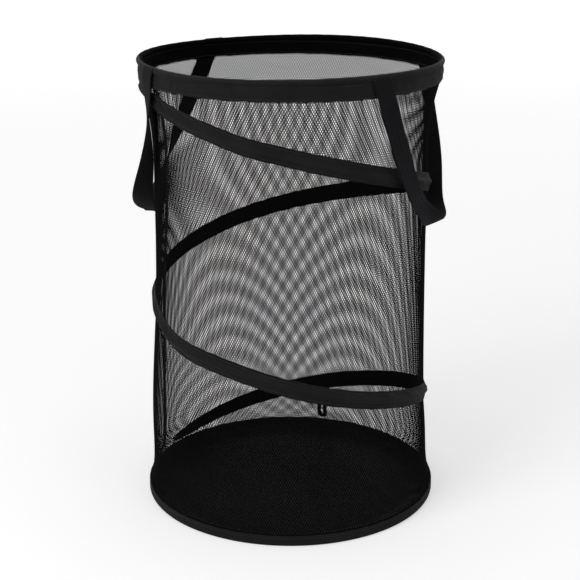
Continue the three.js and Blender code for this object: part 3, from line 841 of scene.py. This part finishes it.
# Base cloth: a round of black coated polyester. It lies on the floor, and its edge is turned up and sewn into
# the base binding. The coating gives it a slight sheen, and it wrinkles where the edge is drawn in.
cloth_outside = 0.1770
cloth_flat_radius = 0.1500
cloth_slope_radius = 0.1700
cloth_lift = 0.0008
cloth_slope_rise = 0.0046
cloth_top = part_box("base_panel")[1].z
cloth_angles = 480
cloth_flat_rings = 44
cloth_slope_rings = 18
cloth_edge_rings = 12
cloth_first_ring = 0.001
gather_height = 0.0009
gather_reach = 0.035
gather_fullness = 1.6
gather_waves = ((1, 17, 2, 3), (0.6, 31, 1.5, 4))
loose_radius = 0.12
loose_fade = 0.04
loose_swell = 0.0011
loose_crease = 0.0007

coated_cloth, coated_tree, coated_shader = cloth_finish(
    "coated base cloth", deep=grey(0.0018), rubbed=grey(0.0045, 1.03), roughness=(0.38, 0.6), sheen=0.01,
    gloss=0.06, patch_scale=9, fleck_amount=0.12, edge_rubbing=0.2)
add_plain_weave(coated_tree, coated_shader, threads_per_metre=2600, turn=0, depth=0.00002)


def cloth_height(radius, angle):
    """Height of the cloth, loose in the middle and gathered on the slope up to its edge."""
    slope = smooth_rise((radius - cloth_flat_radius) / (cloth_slope_radius - cloth_flat_radius))
    turn = np.radians(angle)
    drawn = np.exp(-((cloth_slope_radius - radius) / gather_reach) ** 2)
    gathers = drawn * (uneven_waves(turn, *gather_waves) + gather_fullness) * slope ** 0.5
    x, y = radius * np.cos(turn), radius * np.sin(turn)
    swell = (np.sin(23 * x + 11 * y + 1) * np.sin(17 * y - 9 * x) + 1) / 2
    creases = np.maximum(0, np.sin(70 * (x + 0.35 * y) + 2.2 * np.sin(21 * y))) ** 6
    loose = 1 - smooth_rise((radius - loose_radius) / loose_fade)
    lying = cloth_lift + loose * (loose_swell * swell + loose_crease * creases)
    return lying + cloth_slope_rise * slope + gather_height * gathers


ring_radii = np.concatenate([np.linspace(cloth_first_ring, cloth_flat_radius, cloth_flat_rings),
                             np.linspace(cloth_flat_radius, cloth_slope_radius, cloth_slope_rings)[1:],
                             np.linspace(cloth_slope_radius, cloth_outside, cloth_edge_rings)[1:]])
ring_count = len(ring_radii)
turn_angles = np.arange(cloth_angles) * 360 / cloth_angles
ring_grid, turn_grid = np.meshgrid(ring_radii, turn_angles, indexing="ij")
edge_share = (ring_grid - cloth_slope_radius) / (cloth_outside - cloth_slope_radius)
sloped_heights = cloth_height(np.minimum(ring_grid, cloth_slope_radius), turn_grid)
cloth_heights = sloped_heights + (cloth_top - sloped_heights) * smooth_rise(edge_share * 1.3)
ring_points = round_points(turn_grid, ring_grid, cloth_heights).reshape(-1, 3)
cloth_points = np.concatenate([ring_points, [[0, 0, float(cloth_heights[0].mean())]]])
ring, place = grid_cells(ring_count - 1, cloth_angles)
following = (place + 1) % cloth_angles
cloth_faces = np.stack([ring * cloth_angles + place, (ring + 1) * cloth_angles + place,
                        (ring + 1) * cloth_angles + following, ring * cloth_angles + following], 1).tolist()
centre_point = ring_count * cloth_angles
cloth_faces += [[centre_point, first, (first + 1) % cloth_angles] for first in range(cloth_angles)]
flat_places = cloth_points[[corner for face in cloth_faces for corner in face]][:, :2]
base_cloth = link_mesh("base_cloth", cloth_points, cloth_faces, flat_places, coated_cloth)
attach(base_cloth, "base")
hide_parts("base_panel")


# Base binding: a bias tape folded round the base hoop, the foot of the net and the edge of the base cloth,
# and sewn through all of them with one row of stitches. The hamper rests on it. The hoop is a ring of spring
# steel wire, and a crimped zinc plated tube joins its two ends.
base_wire_radius = 0.1770
base_wire_height = 0.0030
base_tape_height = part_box("base_binding")[1].z
base_tape_thickness = 0.0008
base_outer_leg = binding_radius - 0.0004
base_inner_leg = base_wall_radius - 0.0030
base_stitch_height = base_tape_height - 0.0030
base_stitch_pinch = 0.0002
base_turn_across = 0.0028
base_turn_down = 0.0029
base_turn_inside = 0.0021
base_turn_first = math.radians(-8)
base_turn_last = math.radians(-172)
base_turn_steps = 8
base_turn_inside_steps = 6
base_lap_angle = -139.0
base_lap_height = 0.008
base_lap_lean = 700.0
base_lap_rise = 0.0010
base_lap_degrees = (0.8, 8, 14)
base_bulge = 0.00025
base_edge_unevenness = 0.00022
base_edge_waves = ((1, 47, 2, 6), (0.6, 83, 0, 0))
base_stitches = 376
base_steps = base_stitches * 4


def ring_of_tape(name, section_at, steps, finish):
    """A folded tape round the hamper. section_at gives its outer and its inner face, from edge to edge."""
    angles = np.arange(steps) * 360 / steps
    outer, inner = section_at(np.radians(angles))
    rings = np.stack([round_points(angles, radius, height) for radius, height in outer + inner[::-1]], 1)
    return skin(name, rings, finish, looped=True)


def lap_step(turn, edge, rise_degrees, flat_degrees, fall_degrees):
    """A tape's lapped end, from 0 to 1: it rises in a step at an edge, and falls off slowly past it."""
    past = np.degrees(np.mod(turn + math.pi, 2 * math.pi) - math.pi) - edge
    return smooth_rise(past / rise_degrees) * (1 - smooth_rise((past - flat_degrees) / fall_degrees))


def base_lap(turn, height):
    """How far the lapped end of the tape stands out, a slanting step at the front on the left."""
    edge = base_lap_angle + base_lap_lean * (height - base_lap_height)
    return base_lap_rise * lap_step(turn, edge, *base_lap_degrees)


def base_section(turn):
    """Radius and height of each corner of the base binding's section, round the hamper."""
    stitch_pinch = base_stitch_pinch * np.cos(turn * base_stitches)
    bulge = base_bulge * (np.sin(19 * turn) + np.sin(34 * turn + 1)) / 2
    edge = base_edge_unevenness * uneven_waves(turn, *base_edge_waves)
    level = base_tape_height
    outer = [(-0.0002, level + edge), (0.0001, level - 0.0006 + edge), (bulge - 0.0001, level - 0.0018),
             (-0.0004 - stitch_pinch, base_stitch_height), (bulge - 0.0001, level - 0.0042),
             (bulge + 0.0002, level - 0.0060), (bulge + 0.0002, 0.0052), (0, 0.0036)]
    outer = [(base_outer_leg + lift + base_lap(turn, height), height) for lift, height in outer]
    for around in np.linspace(base_turn_first, base_turn_last, base_turn_steps + 1):
        outer.append((base_wire_radius + base_turn_across * math.cos(around),
                      base_wire_height - 0.0001 + base_turn_down * math.sin(around)))
    outer += [(base_wire_radius - 0.0027, 0.0048), (base_inner_leg + 0.0002, 0.0064),
              (base_inner_leg - bulge, 0.0078), (base_inner_leg + stitch_pinch, base_stitch_height),
              (base_inner_leg, level - 0.0014), (base_inner_leg + 0.0002, level - edge)]

    outer_inside = base_outer_leg - base_tape_thickness
    inner_inside = base_inner_leg + base_tape_thickness
    inner = [(outer_inside, level + edge), (outer_inside, 0.0060), (outer_inside, 0.0036)]
    for around in np.linspace(base_turn_first, base_turn_last, base_turn_inside_steps + 1):
        inner.append((base_wire_radius + base_turn_inside * math.cos(around),
                      base_wire_height + base_turn_inside * math.sin(around)))
    inner += [(base_wire_radius - 0.0020, 0.0046), (inner_inside, 0.0066),
              (inner_inside, base_stitch_height), (inner_inside, level - edge)]
    return outer, inner


base_tape = ring_of_tape("base_binding_tape", base_section, base_steps, tape_black)
# Painted shade: the base binding's inward faces get the darker copy of its finish.
paint_shade_inward(base_tape, tape_painted_shade)
base_angles = np.arange(base_steps) * 360 / base_steps
stitch_lap = base_lap(np.radians(base_angles), base_stitch_height)
base_line = round_points(base_angles, base_outer_leg - base_stitch_pinch + stitch_lap, base_stitch_height)
base_inner_line = round_points(base_angles, base_inner_leg - base_stitch_pinch / 2, base_stitch_height)
base_thread = stitch_rows("base_stitches", [
    stitch_line(base_line, outward(base_line), closed=True),
    stitch_line(base_inner_line, -outward(base_inner_line), closed=True)], thread_black)
for piece in (base_tape, base_thread):
    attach(piece, "base")
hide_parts("base_binding")

crimp_zinc = steel_finish("zinc plated crimp", scale_colour=grey(0.3), steel_colour=grey(0.5, 1.02),
                          line_scale=260, roughness=(0.25, 0.45))


def finish_hoop(wire_name, sleeve_name):
    """The hoop's wire and its crimp keep the CAD's own shape and get their finish here."""
    for node_name, finish, slot_name in ((wire_name, spring_steel, "spring_wire"),
                                         (sleeve_name, crimp_zinc, "crimp_metal")):
        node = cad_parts[node_name]
        node.data.materials.clear()
        node.data.materials.append(finish)


finish_hoop("base_hoop_wire", "base_hoop_sleeve")


# Rim binding: a wider bias tape folded over the rim hoop and the top edge of the net. A first row of stitches
# right under the wire makes its round piping, and a second row holds the wide hem near its lower edge. The
# hoop is of the same wire and crimp as the one at the base.
rim_wire_radius = 0.1765
rim_wire_height = 0.5425
rim_piping_radius = 0.0035
rim_piping_steps = 12
rim_piping_first = math.radians(-62)
rim_piping_last = math.pi - rim_piping_first
rim_channel_radius = 0.0025
rim_channel_steps = 8
rim_inside_half = 0.0007
rim_inside_heights = (0.5300, 0.5380)
rim_hem_lift = 0.0017
rim_stitches = 372
rim_steps = rim_stitches * 4
piping_stitch_height = 0.5376
piping_pinch = 0.0007
piping_pinch_reach = 0.0010
hem_stitch_height = hem_edge_height + 0.0024
hem_pinch = 0.0003
hem_pinch_reach = 0.0008
hem_puff_heights = [0.5275, 0.5302, 0.5330, 0.5355]
hem_puff = 0.00045
hem_drag = 0.00034
hem_fine_drag = 0.00018
rim_pucker_share = 0.4
rim_dip = 0.0009
rim_tilt = 0.0004
rim_high_turn = 1.824
rim_edge_inset = 0.0005
rim_edge_reach = 0.0012
rim_edge_unevenness = 0.0005
rim_edge_waves = ((1, 37, 2, 5), (0.3, 119, 0, 0))
pleat_angle = -80.0
pleat_height = hem_height + 0.010
pleat_lean = 5500.0
pleat_rise = 0.0014
pleat_degrees = (1.2, 3, 16)


def rim_wave(turn):
    """Slow waves of the rim, which isn't quite flat. rim_high_turn, in radians, is where they start."""
    from_high_turn = turn - rim_high_turn
    return -rim_dip * np.sin(3 * from_high_turn) - rim_tilt * np.sin(from_high_turn)


def rim_hem_bulge(turn, height):
    """How the hem puffs out between its two rows of stitches, with slanting drag lines."""
    share = np.clip((height - hem_stitch_height) / (piping_stitch_height - hem_stitch_height), 0, 1)
    puff = 4 * share * (1 - share)
    drag = np.sin(29 * turn + 260 * (height - hem_height) + 2 * np.sin(4 * turn))
    fine = np.sin(71 * turn - 180 * (height - hem_height) + 3 * np.sin(9 * turn))
    return puff * (hem_puff + hem_drag * drag + hem_fine_drag * fine)


def rim_pleat(turn, height):
    """The lapped end of the tape, a slanting step in the front of the hem."""
    edge = pleat_angle + pleat_lean * (height - pleat_height)
    return pleat_rise * lap_step(turn, edge, *pleat_degrees)


def rim_leg(turn, edge, side):
    """One side of the hem, outer or inner, from its edge up to the piping."""
    stitch_wave = np.cos(turn * rim_stitches)
    corners = [(rim_wire_radius + side * (rim_hem_lift - rim_edge_inset), hem_edge_height + edge * side)]
    for height in [hem_edge_height + 0.0006, hem_stitch_height - 0.0007, hem_stitch_height,
                   hem_stitch_height + 0.0009, *hem_puff_heights, piping_stitch_height - 0.0009,
                   piping_stitch_height]:
        pinch = hem_pinch * math.exp(-((height - hem_stitch_height) / hem_pinch_reach) ** 2) \
            + piping_pinch * math.exp(-((height - piping_stitch_height) / piping_pinch_reach) ** 2)
        pucker = 1 + rim_pucker_share * stitch_wave
        lift = rim_hem_lift - pinch * pucker + rim_hem_bulge(turn * side, height)
        if side > 0:
            lift = lift + rim_pleat(turn, height)
        near_edge = math.exp(-(height - hem_edge_height) / rim_edge_reach)
        corners.append((rim_wire_radius + side * lift, height + edge * near_edge * side))
    return corners


def rim_section(turn):
    """Radius and height of each corner of the rim binding's section, round the hamper."""
    wire_height = rim_wire_height + rim_wave(turn)
    edge = rim_edge_unevenness * (uneven_waves(turn, *rim_edge_waves) + 0.7 * np.sin(64 * turn + 1))
    outer = rim_leg(turn, edge, 1)
    for around in np.linspace(rim_piping_first, rim_piping_last, rim_piping_steps + 1):
        ruck = 0.03 * np.sin(53 * turn + 3 * math.sin(around)) * math.cos(around / 2)
        swell = rim_piping_radius * (1 + ruck)
        outer.append((rim_wire_radius + swell * math.cos(around), wire_height + swell * math.sin(around)))
    outer += rim_leg(turn, edge, -1)[::-1]

    outer_inside = rim_wire_radius + rim_inside_half
    inner_inside = rim_wire_radius - rim_inside_half
    inner = [(outer_inside, hem_edge_height + edge)]
    inner += [(outer_inside, height) for height in rim_inside_heights]
    for around in np.linspace(rim_piping_first, rim_piping_last, rim_channel_steps + 1):
        inner.append((rim_wire_radius + rim_channel_radius * math.cos(around),
                      wire_height + rim_channel_radius * math.sin(around)))
    inner += [(inner_inside, height) for height in rim_inside_heights[::-1]]
    inner.append((inner_inside, hem_edge_height - edge))
    return outer, inner


rim_tape = ring_of_tape("rim_binding_tape", rim_section, rim_steps, tape_black)
# Painted shade: the rim binding's inward faces get the darker copy of its finish.
paint_shade_inward(rim_tape, tape_painted_shade)
rim_angles = np.arange(rim_steps) * 360 / rim_steps
rim_lines = []
for side in (1, -1):
    for height, pinch in ((hem_stitch_height, hem_pinch), (piping_stitch_height, piping_pinch)):
        pleat = rim_pleat(np.radians(rim_angles), height) if side > 0 else 0
        line = round_points(rim_angles, rim_wire_radius + side * (rim_hem_lift - pinch + pleat), height)
        rim_lines.append(stitch_line(line, side * outward(line), closed=True))
rim_thread = stitch_rows("rim_stitches", rim_lines, thread_black)
for piece in (rim_tape, rim_thread):
    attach(piece, "rim")
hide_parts("rim_binding")

finish_hoop("rim_hoop_wire", "rim_hoop_sleeve")


# Carry handles: two lengths of black herringbone polypropylene webbing, 25 mm wide and 1.8 mm thick. Both
# ends of each are caught in the seam under the rim's piping, with the same face outward. Between them the
# webbing hangs in a loop, and each half turns on its way down.
webbing_width = 0.025
webbing_thickness = 0.0018
webbing_cup = 0.0005
webbing_shares = np.array([-1, -0.985, -0.95, -0.86, -0.7, -0.5, -0.25, 0,
                           0.25, 0.5, 0.7, 0.86, 0.95, 0.985, 1])
webbing_half_thick = np.array([0.15, 0.62, 0.9, 1, 0.98, 1, 0.98, 1, 0.98, 1, 0.98, 1, 0.9, 0.62, 0.15])
handle_tuck = 0.0025
handle_tuck_rise = 0.0033
handle_tuck_share = 0.035
handle_half_angle = 42.5
handle_top_radius = 0.1812
handle_top_height = 0.5417
handle_steps = 96
handle_squared_share = 0.25

webbing_black, webbing_tree, webbing_shader = cloth_finish(
    "herringbone webbing", deep=(0.0034, 0.0035, 0.0052, 1), rubbed=(0.008, 0.0083, 0.0118, 1),
    roughness=(0.6, 0.85), sheen=0.03, gloss=0.08, patch_scale=40, fleck_amount=0.3, edge_rubbing=0.5)

# Herringbone: slanting ribs that change their slant from stripe to stripe, with a groove between two stripes
herringbone, bone_in, bone_out = new_group(
    "herringbone weave",
    numbers=[("Ribs Per Metre", 900), ("Stripe Width", 0.0032), ("Slant", 1.1)],
    vectors=["Cloth Place"],
    outputs=[("Height", "NodeSocketFloat")])
bone_axes = add_node(herringbone, "SeparateXYZ", {"Vector": bone_in["Cloth Place"]})
stripe = wire_math(herringbone, "PINGPONG", bone_axes["Y"], bone_in["Stripe Width"])
slanted = wire_math(herringbone, "MULTIPLY", stripe, bone_in["Slant"])
rib_place = wire_math(herringbone, "ADD", bone_axes["X"], slanted)
ribs = round_threads(herringbone, wire_math(herringbone, "MULTIPLY", rib_place, bone_in["Ribs Per Metre"]))
stripe_share = wire_math(herringbone, "DIVIDE", stripe, bone_in["Stripe Width"])
from_middle = wire_math(herringbone, "SUBTRACT", wire_math(herringbone, "MULTIPLY", stripe_share, 2), 1)
groove = wire_math(herringbone, "POWER", wire_math(herringbone, "ABSOLUTE", from_middle), 8)
groove_depth = wire_math(herringbone, "MULTIPLY", groove, 0.8)
feed_node(herringbone, bone_out, {"Height": wire_math(herringbone, "SUBTRACT", ribs, groove_depth)})

webbing_weave = place_group(webbing_tree, herringbone, {"Cloth Place": cloth_place(webbing_tree)})
add_relief(webbing_tree, webbing_shader, webbing_weave["Height"], depth=0.00025)


def bezier(ends, share):
    """Points at the given shares of a curve with two ends and two inner points that it bends toward."""
    rest = 1 - share
    weights = np.stack([rest ** 3, 3 * rest ** 2 * share, 3 * rest * share ** 2, share ** 3], -1)
    return weights @ np.array(ends, float)


def handle_strand(side, drop, bottom_radius, belly, shift, whole_twist,
                  shoulder, bend, sense, twist_begin, twist_finish):
    """Middle, width and thickness directions of half the webbing, from a sewn end down to the bottom.
    It bends toward shoulder and bend, which are shares of the half span and of the drop."""
    shares = np.linspace(0, 1, handle_steps + 1)
    line = bezier([(1, 0), shoulder, bend, (0, 1)], shares)
    half_span = handle_top_radius * math.radians(handle_half_angle)
    span = side * line[:, 0] * half_span + shift * (1 - line[:, 0])
    tucked = np.clip(1 - shares / handle_tuck_share, 0, 1)
    height = handle_top_height - line[:, 1] * drop + handle_tuck_rise * tucked
    leaning = (bottom_radius - handle_top_radius) * smooth_rise(shares * 1.5)
    radius = handle_top_radius + leaning - belly * np.sin(math.pi * shares) ** 2 - handle_tuck * tucked
    middle = round_points(np.degrees(span / handle_top_radius), radius, height)
    out = outward(middle)
    level = np.cross(out, np.array([0, 0, 1.0]))
    along = normalised(np.gradient(middle, axis=0))
    along[-1] = side * level[-1]
    square = normalised(np.cross(along, out))
    squared = smooth_rise(shares / handle_squared_share)[:, None]
    across = normalised(level * (1 - squared) + square * squared)
    normal = normalised(np.cross(across, along))
    twist_share = smooth_rise((shares - twist_begin) / (twist_finish - twist_begin))
    twist = np.radians(whole_twist * twist_share)[:, None]
    width = normalised(normal * np.sin(twist) - sense * across * np.cos(twist))
    return middle, width, normalised(np.cross(along, width))


def make_handle(name, node, body, half_turn, hang, first_half, second_half):
    """A handle made at +X, of a half toward +Y and a half toward -Y. A half turn takes it to -X."""
    first = handle_strand(1, **hang, **first_half)
    second = handle_strand(-1, **hang, **second_half)
    middle, width, thick = (np.concatenate([one, other[-2::-1]]) for one, other in zip(first, second))
    # Each section looks the same way as the one before it
    for ways in (width, thick):
        for station in range(1, len(ways)):
            if ways[station] @ ways[station - 1] < 0:
                ways[station:] *= -1
    if half_turn:
        half_round = np.array([-1, -1, 1.0])
        middle, width, thick = middle * half_round, width * half_round, thick * half_round
    cup = webbing_cup * np.sin(9 * np.linspace(0, 1, len(middle)))[:, None]
    front, back = [], []
    for share, half in zip(webbing_shares, webbing_half_thick):
        spine = middle + width * share * webbing_width / 2 + thick * cup * (1 - share ** 2)
        front.append(spine + thick * half * webbing_thickness / 2)
        back.append(spine - thick * half * webbing_thickness / 2)
    handle = skin(name, np.stack(front + back[::-1], 1), webbing_black)
    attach(handle, body)
    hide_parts(node)
    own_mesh(handle)


make_handle(
    "right_handle_webbing", "handle_right", "right_strap", half_turn=False,
    hang=dict(drop=0.185, bottom_radius=0.1762, belly=0, shift=-0.0033, whole_twist=63),
    first_half=dict(shoulder=(0.43, 0.90), bend=(0.85, 1.05), sense=-1, twist_begin=0.08, twist_finish=0.46),
    second_half=dict(shoulder=(0.65, 0.80), bend=(0.34, 0.90), sense=1, twist_begin=0.6, twist_finish=1.0))
make_handle(
    "left_handle_webbing", "handle_left", "left_strap", half_turn=True,
    hang=dict(drop=0.197, bottom_radius=0.1783, belly=0.0025, shift=-0.009, whole_twist=95),
    first_half=dict(shoulder=(0.95, 0.287), bend=(0.90, 0.77), sense=1, twist_begin=0.0, twist_finish=0.99),
    second_half=dict(shoulder=(0.74, 0.39), bend=(-0.10, 0.95), sense=-1, twist_begin=0.24, twist_finish=1.0))


# Closure loop: narrow braided elastic, doubled and sewn to the lower hem of the spiral tape at the back. It
# holds the hamper shut when it is twisted flat.
loop_width = 0.005
loop_thickness = 0.001
loop_slot = 0.0024
loop_bottom = 0.0154
loop_angle = 90
loop_overlap = 0.0036
loop_wall_gap = 0.0009
loop_tape_rise = 0.0012
loop_tape_reach = 0.003
loop_leg_steps = 28
loop_bend_steps = 20
elastic_shares = np.array([-1, -0.92, -0.6, -0.2, 0.2, 0.6, 0.92, 1])
elastic_rise = np.array([0.35, 0.85, 1, 0.94, 0.94, 1, 0.85, 0.35])

elastic_black, elastic_tree, elastic_shader = cloth_finish(
    "braided elastic", deep=grey(0.006), rubbed=grey(0.016, 1.03), roughness=(0.6, 0.85), sheen=0.08,
    gloss=0.2, patch_scale=90, fleck_amount=0.3, edge_rubbing=0.5)
braid = place_group(elastic_tree, herringbone, {
    "Cloth Place": cloth_place(elastic_tree), "Ribs Per Metre": 1300, "Stripe Width": 0.0008})
add_relief(elastic_tree, elastic_shader, braid["Height"], depth=0.00015)

loop_tape_low = float(spiral_edges(np.array(loop_angle + 360.0))[0])
loop_top = loop_tape_low + loop_overlap
loop_half = loop_slot / 2 + loop_width / 2
bend_height = loop_bottom + loop_slot / 2 + loop_width
leg_heights = np.linspace(loop_top, bend_height, loop_leg_steps)
leg_ones = np.ones(loop_leg_steps)
bend_turns = np.linspace(math.pi, 2 * math.pi, loop_bend_steps)[1:-1]
loop_across = np.concatenate([-loop_half * leg_ones, loop_half * np.cos(bend_turns), loop_half * leg_ones])
loop_height = np.concatenate([leg_heights, bend_height + loop_half * np.sin(bend_turns), leg_heights[::-1]])
loop_side = np.concatenate([leg_ones, -np.cos(bend_turns), -leg_ones])
loop_down = np.concatenate([0 * leg_ones, -np.sin(bend_turns), 0 * leg_ones])


def loop_point(share, lift):
    across = loop_across + loop_side * share * loop_width / 2
    height = loop_height + loop_down * share * loop_width / 2
    on_tape = smooth_rise((height - loop_tape_low) / loop_tape_reach + 1)
    angle = loop_angle + np.degrees(across / wall_radius)
    beneath = np.maximum(held_radius(height), net_radius(loop_angle, height))
    return round_points(angle, beneath + loop_wall_gap + on_tape * loop_tape_rise + lift, height)


loop_rings = np.stack([loop_point(share, 0) for share in elastic_shares]
                      + [loop_point(share, loop_thickness * rise)
                         for share, rise in zip(elastic_shares[::-1], elastic_rise[::-1])], 1)
closure_loop = skin("closure_loop_elastic", loop_rings, elastic_black)
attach(closure_loop, "base")
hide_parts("closure_loop")
fold_with_rim(closure_loop)
